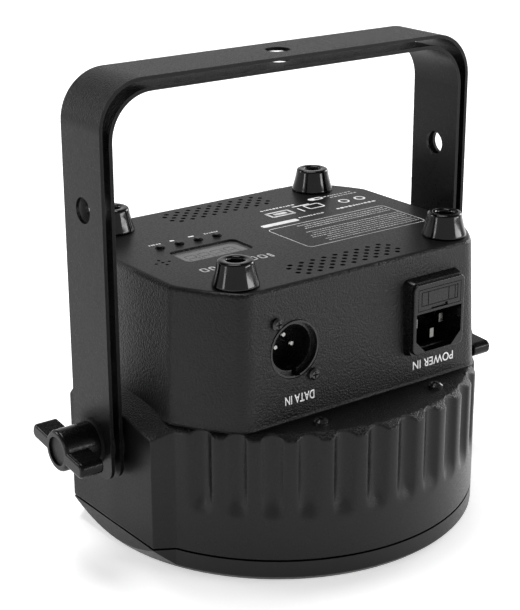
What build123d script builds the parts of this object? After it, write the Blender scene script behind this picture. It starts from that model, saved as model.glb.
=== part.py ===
from build123d import *
import os
from math import cos, radians, sin

# Par can light with a double yoke, standing on its front bezel, lens down.
# Millimetres. +Z points from the lens to the rear panel, X is the tilt axis of the yokes,
# and -Y is the side with the two input sockets. The origin is on the floor under the middle.

os.makedirs("parts", exist_ok=True)

# ---------------------------------------------------------------- driving dimensions
# Fluted front housing
RING_RADIUS = 85.8
BEZEL_TOP = 9.0
HOUSING_BOTTOM = 9.5
LEDGE_Z = 63.2
DECK_THICKNESS = 3.0
FRONT_INNER_RADIUS = 80.3
DECK_HOLE_RADIUS = 56.5
BOSS_X = 86.0
BOSS_HALF_WIDTH = 31.1
BOSS_CHEEK_X = 77.9
BOSS_CHEEK_Y = 35.7
SHOULDER_RADIUS, SHOULDER_Z = 77.5, 66.8
SHOULDER_SLOPE = 0.693
FLUTE_COUNT = 13
FLUTE_PITCH = 9.6
FLUTE_RADIUS = 4.8
FLUTE_DEPTH = 2.7
FLUTE_BALL_Z = 30.8

# Rear housing: a circle cut by four flats, a little smaller at the panel than at the ledge
PANEL_Z = 119.0
WALL = 2.5
FLAT_X = (77.5, 75.2)
FLAT_Y = (59.3, 57.2)
CORNER_RADIUS = (84.0, 81.5)
EDGE_ROUND = 9.0
PANEL_ROUND = 2.1
INNER_EDGE_ROUND = 1.0
JOINT_GAP = 0.1

# Tilt axis, yokes and what clamps them
AXIS_Z = 48.2
STRAP_THICKNESS = 1.5
STRAP_HALF_WIDTH = 14.2
STRAP_END_Z = 34.5
STRAP_END_ROUND = 6.0
OUTER_STRAP_X, OUTER_STRAP_TOP, OUTER_BEND = 93.8, 196.8, 19.5
INNER_STRAP_X, INNER_STRAP_TOP, INNER_BEND = 89.6, 192.5, 19.5
CLAMP_HOLE_RADIUS = 5.25
SIDE_HOLE_Z = 145.0
PIVOT_HOLE_RADIUS = 4.3
STUD_RADIUS = 3.95
FACE_GAP = 0.05

# Sockets: middle heights and distances from the YZ plane
SOCKET_X = 35.6
SOCKET_Z = 92.4
SOCKET_FACE_Y = 58.3
DATA_SHELL_RADIUS = 11.8
DATA_BORE_RADIUS = 9.5
DATA_SCREW_X, DATA_SCREW_Z = 8.7, 12.2
POWER_WIDTH, POWER_HEIGHT, POWER_PROUD = 28.4, 31.0, 5.0
INLET_WIDTH, INLET_HEIGHT = 24.8, 17.0
INLET_CENTRE_Z = 86.4
OUTLET_CENTRE_Z = 92.4

# Rear panel
FOOT_X, FOOT_Y = 54.0, 44.8
FOOT_HEIGHT = 10.2
VENT_Y = 44.5
VENT_PITCH_X, VENT_PITCH_Y = 5.75, 3.0
VENT_RADIUS = 1.15
BUTTON_X, BUTTON_Y, BUTTON_PITCH = -51.6, 11.6, 9.45
BUTTON_TOP = 120.2
MIC_X, MIC_Y = -61.3, -5.2
WINDOW_X, WINDOW_Y, WINDOW_WIDTH, WINDOW_DEPTH = -36.4, -3.4, 33.0, 16.0

# Inside, from the lens to the panel
GLASS_RADIUS = 73.6
LIGHT_OPENING_RADIUS = 70.0
BASE_BOTTOM, BASE_TOP, BASE_RADIUS = 54.6, 58.6, 60.0
FIN_TOP, FIN_HALF, FIN_DEPTH, FIN_COUNT = 74.0, 40.0, 36.0, 15
CHASSIS_TOP = LEDGE_Z - DECK_THICKNESS
POWER_BOARD_Z = 88.0
BOARD_THICKNESS = 1.6
CONTROL_BOARD_Z = 108.0

BOTTOM = (Align.CENTER, Align.CENTER, Align.MIN)
TOP = (Align.CENTER, Align.CENTER, Align.MAX)
ALONG_X = (0, 90, 0)
FACING_FRONT = (90, 0, 0)
FACING_BACK = (-90, 0, 0)
FOUR_FEET = [(x, y) for x in (-FOOT_X, FOOT_X) for y in (-FOOT_Y, FOOT_Y)]


def at_height(points, height):
    """The same points in plan, at one height."""
    return [(x, y, height) for x, y in points]


def upside_down(points, height):
    """Locations at one height for parts whose top points down."""
    return [Location((x, y, height), (180, 0, 0)) for x, y in points]


def on_circle(radius, count, first_angle):
    """Evenly spaced points on a circle, in plan."""
    angles = [radians(first_angle + place * 360 / count) for place in range(count)]
    return [(radius * cos(angle), radius * sin(angle)) for angle in angles]


def finish(builder, name):
    """Label a finished piece and write it to its own STEP file."""
    builder.part.label = name
    export_step(builder.part, f"parts/{name}.step")


def tapered(pair, height):
    """A rear housing dimension at a height, between its ledge and panel values."""
    share = (height - LEDGE_Z) / (PANEL_Z - LEDGE_Z)
    return pair[0] + share * (pair[1] - pair[0])


def housing_section(height, inset):
    """The rear housing's outline at a height, moved inwards by inset."""
    with BuildSketch(Plane.XY.offset(height)) as section:
        Circle(tapered(CORNER_RADIUS, height) - inset)
        half_x = tapered(FLAT_X, height) - inset
        half_y = tapered(FLAT_Y, height) - inset
        Rectangle(2 * half_x, 2 * half_y, mode=Mode.INTERSECT)
        fillet(section.vertices(), EDGE_ROUND if inset == 0 else INNER_EDGE_ROUND)
    return section.sketch.face()


def ring_outline(height, radius, boss_x):
    """The front outline: a circle with a flat boss on each side for the yoke."""
    cheek_drop = BOSS_X - BOSS_CHEEK_X
    with BuildSketch(Plane.XY.offset(height)) as outline:
        Circle(radius)
        for side in (-1, 1):
            with BuildLine():
                Polyline(
                    (0, -BOSS_CHEEK_Y),
                    (side * (boss_x - cheek_drop), -BOSS_CHEEK_Y),
                    (side * boss_x, -BOSS_HALF_WIDTH),
                    (side * boss_x, BOSS_HALF_WIDTH),
                    (side * (boss_x - cheek_drop), BOSS_CHEEK_Y),
                    (0, BOSS_CHEEK_Y),
                    close=True,
                )
            make_face()
    return outline.sketch.face()


def side_plane(face_y, x, z, facing):
    """A plane on a socket face: facing -1 looks out to -Y, and +1 to +Y."""
    return Plane(origin=(x, facing * face_y, z), x_dir=(-facing, 0, 0), z_dir=(0, facing, 0))


def pan_screw(head_radius, head_height, shaft_radius, shaft_length):
    """A pan-head screw with a cross recess at each active location, head up, seat at zero."""
    slot = head_radius * 1.1
    Cylinder(head_radius, head_height * 0.6, align=BOTTOM)
    with Locations((0, 0, head_height * 0.6)):
        Cone(head_radius, head_radius * 0.62, head_height * 0.4, align=BOTTOM)
    Cylinder(shaft_radius, shaft_length, align=TOP)
    with Locations((0, 0, head_height + 0.1)):
        Box(slot, head_radius * 0.28, head_height * 0.6, align=TOP, mode=Mode.SUBTRACT)
        Box(head_radius * 0.28, slot, head_height * 0.6, align=TOP, mode=Mode.SUBTRACT)


# ---------------------------------------------------------------- front of the light
BEZEL_BOTTOM_RADIUS = 84.8
BEZEL_CORNER_RADIUS = 91.6
BEZEL_SCREWS = on_circle(79.6, 4, 45)

with BuildPart() as front_bezel:
    add(extrude(ring_outline(0, RING_RADIUS, BOSS_X), amount=BEZEL_TOP, mode=Mode.PRIVATE))
    with BuildSketch(Plane.XZ) as bezel_cone:
        with BuildLine():
            Polyline(
                (0, 0),
                (BEZEL_BOTTOM_RADIUS - 1.2, 0),
                (BEZEL_BOTTOM_RADIUS, 1.0),
                (BEZEL_CORNER_RADIUS, BEZEL_TOP),
                (0, BEZEL_TOP),
                close=True,
            )
        make_face()
    revolve(axis=Axis.Z, mode=Mode.INTERSECT)
    Cylinder(LIGHT_OPENING_RADIUS, BEZEL_TOP, align=BOTTOM, mode=Mode.SUBTRACT)
    with Locations((0, 0, 3.0)):
        Cylinder(GLASS_RADIUS + 0.2, BEZEL_TOP, align=BOTTOM, mode=Mode.SUBTRACT)
    with Locations((0, 0, BEZEL_TOP)):
        Cylinder(75.6, 4.0, align=BOTTOM)
        Cylinder(GLASS_RADIUS + 0.2, 4.0, align=BOTTOM, mode=Mode.SUBTRACT)
    with Locations(at_height(BEZEL_SCREWS, 0)):
        Cylinder(1.7, BEZEL_TOP, align=BOTTOM, mode=Mode.SUBTRACT)
        Cylinder(3.0, 2.6, align=BOTTOM, mode=Mode.SUBTRACT)
finish(front_bezel, "front_bezel")

with BuildPart() as bezel_screws:
    with Locations(upside_down(BEZEL_SCREWS, 2.6)):
        pan_screw(2.8, 2.0, 1.5, 16.0)
finish(bezel_screws, "bezel_screws")

with BuildPart() as glass_gasket:
    with Locations((0, 0, 3.0)):
        Cylinder(GLASS_RADIUS, 0.8, align=BOTTOM)
        Cylinder(LIGHT_OPENING_RADIUS, 0.8, align=BOTTOM, mode=Mode.SUBTRACT)
finish(glass_gasket, "glass_gasket")

with BuildPart() as front_glass:
    with Locations((0, 0, 3.8)):
        Cylinder(GLASS_RADIUS, 3.0, align=BOTTOM)
finish(front_glass, "front_glass")

REFLECTOR_BOTTOM, REFLECTOR_TOP = 6.9, 51.2
with BuildPart() as reflector:
    with BuildSketch(Plane.XZ) as reflector_wall:
        with BuildLine():
            inner = ThreePointArc((66.0, REFLECTOR_BOTTOM), (45.0, 34.0), (12.0, REFLECTOR_TOP))
            outer = ThreePointArc((67.4, REFLECTOR_BOTTOM), (46.0, 35.2), (12.0, REFLECTOR_TOP + 1.2))
            Line(inner @ 0, outer @ 0)
            Line(inner @ 1, outer @ 1)
        make_face()
    revolve(axis=Axis.Z)
    with Locations((0, 0, REFLECTOR_BOTTOM)):
        Cylinder(GLASS_RADIUS, 1.2, align=BOTTOM)
        Cylinder(66.8, 1.2, align=BOTTOM, mode=Mode.SUBTRACT)
finish(reflector, "reflector")

HOLDER_SCREWS = on_circle(21.6, 2, 0)
with BuildPart() as led_holder:
    with Locations((0, 0, BASE_BOTTOM)):
        Cylinder(24.0, 2.0, align=TOP)
        Box(28.4, 28.4, 2.0, align=TOP, mode=Mode.SUBTRACT)
    with Locations(at_height(HOLDER_SCREWS, BASE_BOTTOM - 2.0)):
        Cylinder(1.4, 2.0, align=BOTTOM, mode=Mode.SUBTRACT)
finish(led_holder, "led_holder")

with BuildPart() as cob_led:
    with Locations((0, 0, BASE_BOTTOM)):
        Box(28.0, 28.0, 1.4, align=TOP)
    with Locations((0, 0, BASE_BOTTOM - 1.4)):
        Cylinder(10.0, 0.6, align=TOP)
finish(cob_led, "cob_led")

# ---------------------------------------------------------------- heat sink
SINK_SCREWS = on_circle(50.0, 4, 0)
LEDGE_POINTS = [(x, y) for x in (-30.4, 30.4) for y in (-68.0, 68.0)]
STANDOFF_POINTS = [(x, y) for x in (-46.0, 46.0) for y in (-22.0, 22.0)]
LAMP_LEAD_X, LAMP_LEAD_Y = -16.0, 39.3
with BuildPart() as heat_sink:
    with Locations((0, 0, BASE_BOTTOM)):
        Cylinder(BASE_RADIUS, BASE_TOP - BASE_BOTTOM, align=BOTTOM)
    with Locations((0, 0, BASE_TOP)):
        with GridLocations(2 * FIN_HALF / (FIN_COUNT - 1), 0, FIN_COUNT, 1):
            Box(1.8, 2 * FIN_DEPTH, FIN_TOP - BASE_TOP, align=BOTTOM)
    with Locations(at_height(SINK_SCREWS, BASE_BOTTOM)):
        Cylinder(1.6, BASE_TOP - BASE_BOTTOM, align=BOTTOM, mode=Mode.SUBTRACT)
    with Locations(at_height(HOLDER_SCREWS, BASE_BOTTOM)):
        Cylinder(1.25, 3.2, align=BOTTOM, mode=Mode.SUBTRACT)
    with Locations(at_height(STANDOFF_POINTS, BASE_BOTTOM)):
        Cylinder(3.4, BASE_TOP - BASE_BOTTOM, align=BOTTOM, mode=Mode.SUBTRACT)
    with Locations((LAMP_LEAD_X, LAMP_LEAD_Y, BASE_BOTTOM)):
        Cylinder(2.4, BASE_TOP - BASE_BOTTOM, align=BOTTOM, mode=Mode.SUBTRACT)
finish(heat_sink, "heat_sink")

# the sink's screws go up into the chassis plate, and the two small ones hold the LED holder
with BuildPart() as heat_sink_screws:
    with Locations(upside_down(SINK_SCREWS, BASE_BOTTOM)):
        pan_screw(2.8, 2.0, 1.5, 5.4)
    with Locations(upside_down(HOLDER_SCREWS, BASE_BOTTOM - 2.0)):
        pan_screw(2.0, 1.2, 1.2, 5.0)
finish(heat_sink_screws, "heat_sink_screws")

with BuildPart() as chassis_plate:
    with Locations((0, 0, BASE_TOP)):
        Cylinder(79.0, CHASSIS_TOP - BASE_TOP, align=BOTTOM)
        Box(84.0, 84.0, CHASSIS_TOP - BASE_TOP, align=BOTTOM, mode=Mode.SUBTRACT)
    with Locations(at_height(SINK_SCREWS + LEDGE_POINTS + STANDOFF_POINTS, BASE_TOP)):
        Cylinder(1.5, 2.0, align=BOTTOM, mode=Mode.SUBTRACT)
    with Locations(at_height(FOUR_FEET, BASE_TOP)):
        Cylinder(2.0, 2.0, align=BOTTOM, mode=Mode.SUBTRACT)
finish(chassis_plate, "chassis_plate")

# ---------------------------------------------------------------- front housing
SHOULDER_OUT = 100.0
SHOULDER_IN = 70.0


def shoulder_z(radius):
    """Height of the sloped shoulder on top of the bosses."""
    return SHOULDER_Z + SHOULDER_SLOPE * (SHOULDER_RADIUS - radius)


rear_housing_solid = loft([housing_section(LEDGE_Z, 0), housing_section(PANEL_Z, 0)], mode=Mode.PRIVATE)
rear_housing_space = loft(
    [housing_section(LEDGE_Z, -JOINT_GAP), housing_section(PANEL_Z, -JOINT_GAP)], mode=Mode.PRIVATE
)

with BuildPart() as front_housing:
    add(extrude(ring_outline(HOUSING_BOTTOM, RING_RADIUS, BOSS_X), amount=SHOULDER_Z - HOUSING_BOTTOM,
                mode=Mode.PRIVATE))
    # the shoulder slopes down and outwards, and leaves a small chamfer round the flutes
    with BuildSketch(Plane.XZ) as above_shoulder:
        with BuildLine():
            Polyline(
                (SHOULDER_IN, shoulder_z(SHOULDER_IN)),
                (SHOULDER_OUT, shoulder_z(SHOULDER_OUT)),
                (SHOULDER_OUT, PANEL_Z),
                (SHOULDER_IN, PANEL_Z),
                close=True,
            )
        make_face()
    revolve(axis=Axis.Z, mode=Mode.SUBTRACT)
    # the ledge: flat at the front and back, and under the rear housing
    with Locations((0, 0, LEDGE_Z)):
        Box(2 * SHOULDER_OUT, 2 * SHOULDER_OUT, 10.0, align=BOTTOM, mode=Mode.SUBTRACT)
    boss_tops = extrude(ring_outline(LEDGE_Z, 1.0, BOSS_X), amount=SHOULDER_Z - LEDGE_Z, mode=Mode.PRIVATE)
    with BuildSketch(Plane.XZ, mode=Mode.PRIVATE) as under_shoulder:
        with BuildLine():
            Polyline(
                (0, LEDGE_Z),
                (SHOULDER_RADIUS + (SHOULDER_Z - LEDGE_Z) / SHOULDER_SLOPE, LEDGE_Z),
                (SHOULDER_RADIUS, SHOULDER_Z),
                (0, SHOULDER_Z),
                close=True,
            )
        make_face()
    shoulder = revolve(under_shoulder.sketch, axis=Axis.Z, mode=Mode.PRIVATE)
    add((boss_tops & shoulder) - rear_housing_space)
    # hollow inside, closed on top by the deck
    with Locations((0, 0, HOUSING_BOTTOM)):
        Cylinder(FRONT_INNER_RADIUS, CHASSIS_TOP - HOUSING_BOTTOM, align=BOTTOM, mode=Mode.SUBTRACT)
    with Locations((0, 0, CHASSIS_TOP)):
        Cylinder(DECK_HOLE_RADIUS, DECK_THICKNESS, align=BOTTOM, mode=Mode.SUBTRACT)
    # flutes with ball ends on the front and the back
    first_angle = -FLUTE_PITCH * (FLUTE_COUNT - 1) / 2
    for side_angle in (-90, 90):
        for flute in range(FLUTE_COUNT):
            angle = radians(side_angle + first_angle + flute * FLUTE_PITCH)
            reach = RING_RADIUS - FLUTE_DEPTH + FLUTE_RADIUS
            with Locations((reach * cos(angle), reach * sin(angle), FLUTE_BALL_Z)):
                Cylinder(FLUTE_RADIUS, PANEL_Z, align=BOTTOM, mode=Mode.SUBTRACT)
                Sphere(FLUTE_RADIUS, mode=Mode.SUBTRACT)
    # posts for the bezel screws
    with Locations(at_height(BEZEL_SCREWS, HOUSING_BOTTOM)):
        Cylinder(3.6, 16.0, align=BOTTOM)
        Cylinder(1.5, 14.0, align=BOTTOM, mode=Mode.SUBTRACT)
    # boss pads and the bores for the threaded inserts
    for side in (-1, 1):
        with Locations((side * 78.5, 0, AXIS_Z)):
            Cylinder(10.0, 9.0, rotation=ALONG_X)
        with Locations((side * 81.0, 0, AXIS_Z)):
            Cylinder(6.0, 16.0, rotation=ALONG_X, mode=Mode.SUBTRACT)
    with Locations(at_height(LEDGE_POINTS, CHASSIS_TOP)):
        Cylinder(1.7, DECK_THICKNESS, align=BOTTOM, mode=Mode.SUBTRACT)
    with Locations(at_height(FOUR_FEET, CHASSIS_TOP)):
        Cylinder(2.0, DECK_THICKNESS, align=BOTTOM, mode=Mode.SUBTRACT)
finish(front_housing, "front_housing")

with BuildPart() as ledge_screws:
    with Locations(at_height(LEDGE_POINTS, LEDGE_Z)):
        pan_screw(3.05, 2.0, 1.45, 8.0)
finish(ledge_screws, "ledge_screws")

with BuildPart() as boss_inserts:
    for side in (-1, 1):
        with Locations((side * 80.0, 0, AXIS_Z)):
            Cylinder(6.0, 12.0, rotation=ALONG_X)
            Cylinder(STUD_RADIUS + 0.05, 12.0, rotation=ALONG_X, mode=Mode.SUBTRACT)
finish(boss_inserts, "boss_inserts")

# ---------------------------------------------------------------- rear housing
INNER_TOP = PANEL_Z - WALL
POST_RADIUS = 4.5
BOARD_POSTS = [(-63.5, 15.5), (-17.0, 15.5), (-63.5, -13.5), (-17.0, -13.5)]
VENT_POINTS = [
    (column * VENT_PITCH_X, side * VENT_Y + row * VENT_PITCH_Y)
    for side in (-1, 1)
    for row in range(-2, 3)
    for column in ([c for c in range(-4, 5)] if row % 2 == 0 else [c + 0.5 for c in range(-5, 5)])
]
MIC_HOLES = [(MIC_X, MIC_Y), (MIC_X - 3.1, MIC_Y), (MIC_X + 3.1, MIC_Y), (MIC_X, MIC_Y - 3.1), (MIC_X, MIC_Y + 3.1)]
BUTTON_POINTS = [(BUTTON_X + place * BUTTON_PITCH, BUTTON_Y) for place in range(4)]

with BuildPart() as rear_housing:
    loft([housing_section(LEDGE_Z, 0), housing_section(PANEL_Z, 0)])
    fillet(rear_housing.faces().sort_by(Axis.Z)[-1].outer_wire().edges(), PANEL_ROUND)
    loft([housing_section(LEDGE_Z, WALL), housing_section(INNER_TOP, WALL)], mode=Mode.SUBTRACT)
    with Locations(at_height(FOUR_FEET, LEDGE_Z)):
        Cylinder(POST_RADIUS, INNER_TOP - LEDGE_Z + 0.5, align=BOTTOM)
    with Locations(at_height(BOARD_POSTS, CONTROL_BOARD_Z + BOARD_THICKNESS)):
        Cylinder(2.5, INNER_TOP - CONTROL_BOARD_Z - BOARD_THICKNESS + 0.5, align=BOTTOM)
        Cylinder(1.1, 5.0, align=BOTTOM, mode=Mode.SUBTRACT)
    with Locations(at_height(FOUR_FEET, LEDGE_Z)):
        Cylinder(1.8, 12.0, align=BOTTOM, mode=Mode.SUBTRACT)
    with Locations(at_height(FOUR_FEET, PANEL_Z)):
        Cylinder(1.8, 14.0, align=TOP, mode=Mode.SUBTRACT)
    # rear panel: vents, microphone holes, button holes and the display opening
    with Locations(at_height(VENT_POINTS, PANEL_Z)):
        Cylinder(VENT_RADIUS, WALL + 1, align=TOP, mode=Mode.SUBTRACT)
    with Locations(at_height(MIC_HOLES, PANEL_Z)):
        Cylinder(0.75, WALL + 1, align=TOP, mode=Mode.SUBTRACT)
    with Locations(at_height(BUTTON_POINTS, PANEL_Z)):
        Cylinder(2.15, WALL + 1, align=TOP, mode=Mode.SUBTRACT)
    with BuildSketch(Plane.XY.offset(PANEL_Z)) as window_opening:
        with Locations((WINDOW_X, WINDOW_Y)):
            RectangleRounded(WINDOW_WIDTH, WINDOW_DEPTH, 3.0)
    extrude(amount=-WALL - 1, mode=Mode.SUBTRACT)
    # socket openings on both socket faces
    for facing in (-1, 1):
        with BuildSketch(side_plane(SOCKET_FACE_Y + 2, -SOCKET_X, SOCKET_Z, facing)) as data_opening:
            Circle(DATA_SHELL_RADIUS + 0.2)
            for sign in (-1, 1):
                with Locations((sign * facing * DATA_SCREW_X, sign * DATA_SCREW_Z)):
                    Circle(1.6)
        extrude(amount=-8, mode=Mode.SUBTRACT)
    with BuildSketch(side_plane(SOCKET_FACE_Y + 2, SOCKET_X, SOCKET_Z, -1)) as power_in_opening:
        Rectangle(POWER_WIDTH - 2.6, POWER_HEIGHT - 2.6)
    extrude(amount=-8, mode=Mode.SUBTRACT)
    with BuildSketch(side_plane(SOCKET_FACE_Y + 2, SOCKET_X, OUTLET_CENTRE_Z, 1)) as power_out_opening:
        Rectangle(INLET_WIDTH + 3.0, INLET_HEIGHT + 5.0)
    extrude(amount=-8, mode=Mode.SUBTRACT)
finish(rear_housing, "rear_housing")

with BuildPart() as chassis_screws:
    with Locations(upside_down(FOUR_FEET, BASE_TOP)):
        pan_screw(3.2, 2.0, 1.75, 15.0)
finish(chassis_screws, "chassis_screws")

FOOT_SEAT_Z = PANEL_Z + 3.6
with BuildPart() as rubber_feet:
    with BuildSketch(Plane.XZ) as foot_profile:
        with BuildLine():
            Polyline(
                (2.0, PANEL_Z),
                (9.1, PANEL_Z),
                (9.3, PANEL_Z + 0.9),
                (8.3, PANEL_Z + 3.0),
                (7.5, PANEL_Z + 5.6),
                (6.9, PANEL_Z + FOOT_HEIGHT - 0.7),
                (6.2, PANEL_Z + FOOT_HEIGHT),
                (4.1, PANEL_Z + FOOT_HEIGHT),
                (3.6, PANEL_Z + FOOT_HEIGHT - 0.7),
                (3.6, FOOT_SEAT_Z),
                (2.0, FOOT_SEAT_Z),
                close=True,
            )
        make_face()
    one_foot = revolve(axis=Axis.Z, mode=Mode.PRIVATE)
    for foot_x, foot_y in FOUR_FEET:
        add(Pos(foot_x, foot_y, 0) * one_foot)
finish(rubber_feet, "rubber_feet")

with BuildPart() as foot_screws:
    with Locations(at_height(FOUR_FEET, FOOT_SEAT_Z)):
        pan_screw(3.3, 2.0, 1.75, 16.0)
finish(foot_screws, "foot_screws")

# ---------------------------------------------------------------- display, buttons, microphone
WINDOW_TOP = PANEL_Z - 1.0
with BuildPart() as display_window:
    with BuildSketch(Plane.XY.offset(INNER_TOP)) as window_body:
        with Locations((WINDOW_X, WINDOW_Y)):
            RectangleRounded(WINDOW_WIDTH - 0.3, WINDOW_DEPTH - 0.3, 2.8)
    extrude(amount=WINDOW_TOP - INNER_TOP)
    with BuildSketch(Plane.XY.offset(INNER_TOP)) as window_flange:
        with Locations((WINDOW_X, WINDOW_Y)):
            RectangleRounded(WINDOW_WIDTH + 3.0, WINDOW_DEPTH + 3.0, 3.0)
    extrude(amount=-1.2)
finish(display_window, "display_window")

CONTROL_TOP = CONTROL_BOARD_Z + BOARD_THICKNESS
DATA_LEAD_X = -35.5
with BuildPart() as control_board:
    with Locations((-40.2, 1.0, CONTROL_BOARD_Z)):
        Box(53.0, 35.0, BOARD_THICKNESS, align=BOTTOM)
    with Locations(at_height(BOARD_POSTS, CONTROL_BOARD_Z)):
        Cylinder(1.3, BOARD_THICKNESS, align=BOTTOM, mode=Mode.SUBTRACT)
    with Locations((DATA_LEAD_X, -10.0, CONTROL_BOARD_Z)):
        Box(12.0, 12.0, 1.4, align=TOP)
    with Locations((-48.0, -6.0, CONTROL_BOARD_Z)):
        Box(8.0, 16.0, 2.0, align=TOP)
finish(control_board, "control_board")

with BuildPart() as display_module:
    with Locations((WINDOW_X, WINDOW_Y, CONTROL_TOP)):
        Box(31.0, 14.0, 5.0, align=BOTTOM)
finish(display_module, "display_module")

SWITCH_TOP = CONTROL_TOP + 3.6
with BuildPart() as tact_switches:
    with Locations(at_height(BUTTON_POINTS, CONTROL_TOP)):
        Box(6.0, 6.0, SWITCH_TOP - CONTROL_TOP, align=BOTTOM)
    with Locations(at_height(BUTTON_POINTS, SWITCH_TOP)):
        Cylinder(2.0, 1.6, align=TOP, mode=Mode.SUBTRACT)
finish(tact_switches, "tact_switches")

BUTTON_NAMES = ("menu_button", "down_button", "up_button", "enter_button")
for button_name, (button_x, button_y) in zip(BUTTON_NAMES, BUTTON_POINTS):
    with BuildPart() as button:
        with Locations((button_x, button_y, SWITCH_TOP - 0.8)):
            Cylinder(1.75, BUTTON_TOP - SWITCH_TOP + 0.8, align=BOTTOM)
        fillet(button.edges().sort_by(Axis.Z)[-1], 0.35)
        with Locations((button_x, button_y, INNER_TOP - FACE_GAP)):
            Cylinder(2.7, 0.9, align=TOP)
    finish(button, button_name)

with BuildPart() as microphone:
    with Locations((MIC_X, MIC_Y, CONTROL_TOP)):
        Cylinder(4.7, 5.6, align=BOTTOM)
        with Locations((0, 0, 5.6)):
            Cylinder(2.6, 0.4, align=TOP, mode=Mode.SUBTRACT)
finish(microphone, "microphone")

# ---------------------------------------------------------------- power supply
with BuildPart() as board_standoffs:
    with BuildSketch(Plane.XY.offset(CHASSIS_TOP)) as standoff_hexagons:
        with Locations(STANDOFF_POINTS):
            RegularPolygon(3.2, 6)
    extrude(amount=POWER_BOARD_Z - CHASSIS_TOP)
    with Locations(at_height(STANDOFF_POINTS, CHASSIS_TOP)):
        Cylinder(1.5, 8.0, align=BOTTOM, mode=Mode.SUBTRACT)
    with Locations(at_height(STANDOFF_POINTS, POWER_BOARD_Z)):
        Cylinder(1.5, 8.0, align=TOP, mode=Mode.SUBTRACT)
finish(board_standoffs, "board_standoffs")

POWER_TOP = POWER_BOARD_Z + BOARD_THICKNESS
with BuildPart() as power_board:
    with Locations((0, 0, POWER_BOARD_Z)):
        Box(100.0, 52.0, BOARD_THICKNESS, align=BOTTOM)
    with Locations(at_height(STANDOFF_POINTS, POWER_BOARD_Z)):
        Cylinder(1.7, BOARD_THICKNESS, align=BOTTOM, mode=Mode.SUBTRACT)
finish(power_board, "power_board")

# four screws on the power board, four under its standoffs and four under the control board
with BuildPart() as board_screws:
    with Locations(at_height(STANDOFF_POINTS, POWER_TOP)):
        pan_screw(2.7, 1.8, 1.45, 7.0)
    with Locations(upside_down(STANDOFF_POINTS, BASE_TOP)):
        pan_screw(2.7, 1.8, 1.45, 7.0)
    with Locations(upside_down(BOARD_POSTS, CONTROL_BOARD_Z)):
        pan_screw(2.1, 1.4, 1.05, 5.5)
finish(board_screws, "board_screws")

with BuildPart() as transformer:
    with Locations((6.0, 0, POWER_TOP)):
        Box(24.0, 26.0, 5.0, align=BOTTOM)
    with Locations((6.0, 0, POWER_TOP + 5.0)):
        Box(24.0, 16.0, 12.0, align=BOTTOM)
    fillet(transformer.edges().filter_by(Axis.Z), 1.0)
finish(transformer, "transformer")

with BuildPart() as capacitors:
    with Locations((32.0, -3.0, POWER_TOP), (32.0, 13.0, POWER_TOP)):
        Cylinder(6.3, 20.0, align=BOTTOM)
    fillet(capacitors.edges().group_by(Axis.Z)[-1], 1.0)
finish(capacitors, "capacitors")

with BuildPart() as board_terminals:
    with Locations((SOCKET_X, -17.0, POWER_TOP), (LAMP_LEAD_X, 19.0, POWER_TOP)):
        Box(12.0, 8.0, 8.0, align=BOTTOM)
finish(board_terminals, "board_terminals")

# ---------------------------------------------------------------- data sockets
FLANGE_THICKNESS = 2.0
WALL_INSIDE_Y = SOCKET_FACE_Y - WALL - 0.9


def data_shell(facing, bore_depth):
    """A round socket shell: flange behind the wall, ring flush with the face, key slot below."""
    front = side_plane(SOCKET_FACE_Y, -SOCKET_X, SOCKET_Z, facing)
    behind = side_plane(WALL_INSIDE_Y, -SOCKET_X, SOCKET_Z, facing)
    with BuildPart() as shell:
        with BuildSketch(front) as tube:
            Circle(DATA_SHELL_RADIUS)
        extrude(amount=-23.0)
        with BuildSketch(behind) as flange:
            RectangleRounded(26.0, 31.0, 3.0)
        extrude(amount=-FLANGE_THICKNESS)
        with BuildSketch(front) as bore:
            Circle(DATA_BORE_RADIUS)
        extrude(amount=-bore_depth, mode=Mode.SUBTRACT)
        if facing < 0:
            with BuildSketch(front) as mouth_step:
                Circle(DATA_SHELL_RADIUS - 0.8)
            extrude(amount=-2.6, mode=Mode.SUBTRACT)
        with BuildSketch(front) as back_hole:
            Circle(DATA_BORE_RADIUS - 1.2)
        extrude(amount=-24.0, mode=Mode.SUBTRACT)
        with BuildSketch(behind) as screw_holes:
            for sign in (-1, 1):
                with Locations((sign * facing * DATA_SCREW_X, sign * DATA_SCREW_Z)):
                    Circle(1.25)
        extrude(amount=-FLANGE_THICKNESS, mode=Mode.SUBTRACT)
        with BuildSketch(front) as key_slot:
            with Locations((-facing * 1.4, -DATA_BORE_RADIUS - 0.4)):
                Rectangle(2.4, 3.0)
        extrude(amount=-6.0, mode=Mode.SUBTRACT)
    return shell


PIN_PLACES = [(-4.0, -0.6), (4.0, -0.6), (0.0, 3.9)]
IN_BORE_DEPTH = 16.0

data_in_shell = data_shell(-1, IN_BORE_DEPTH)
finish(data_in_shell, "data_in_shell")

with BuildPart() as data_in_insert:
    with BuildSketch(side_plane(SOCKET_FACE_Y - IN_BORE_DEPTH + 2.0, -SOCKET_X, SOCKET_Z, -1)) as insert_disc:
        Circle(DATA_BORE_RADIUS - 0.05)
    extrude(amount=-2.0)
    with BuildSketch(side_plane(SOCKET_FACE_Y - IN_BORE_DEPTH, -SOCKET_X, SOCKET_Z, -1)) as insert_back:
        Circle(DATA_BORE_RADIUS - 1.25)
    extrude(amount=-6.0)
    with BuildSketch(side_plane(SOCKET_FACE_Y, -SOCKET_X, SOCKET_Z, -1)) as pin_holes:
        with Locations(PIN_PLACES):
            Circle(1.2)
    extrude(amount=-24.0, mode=Mode.SUBTRACT)
finish(data_in_insert, "data_in_insert")

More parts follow.
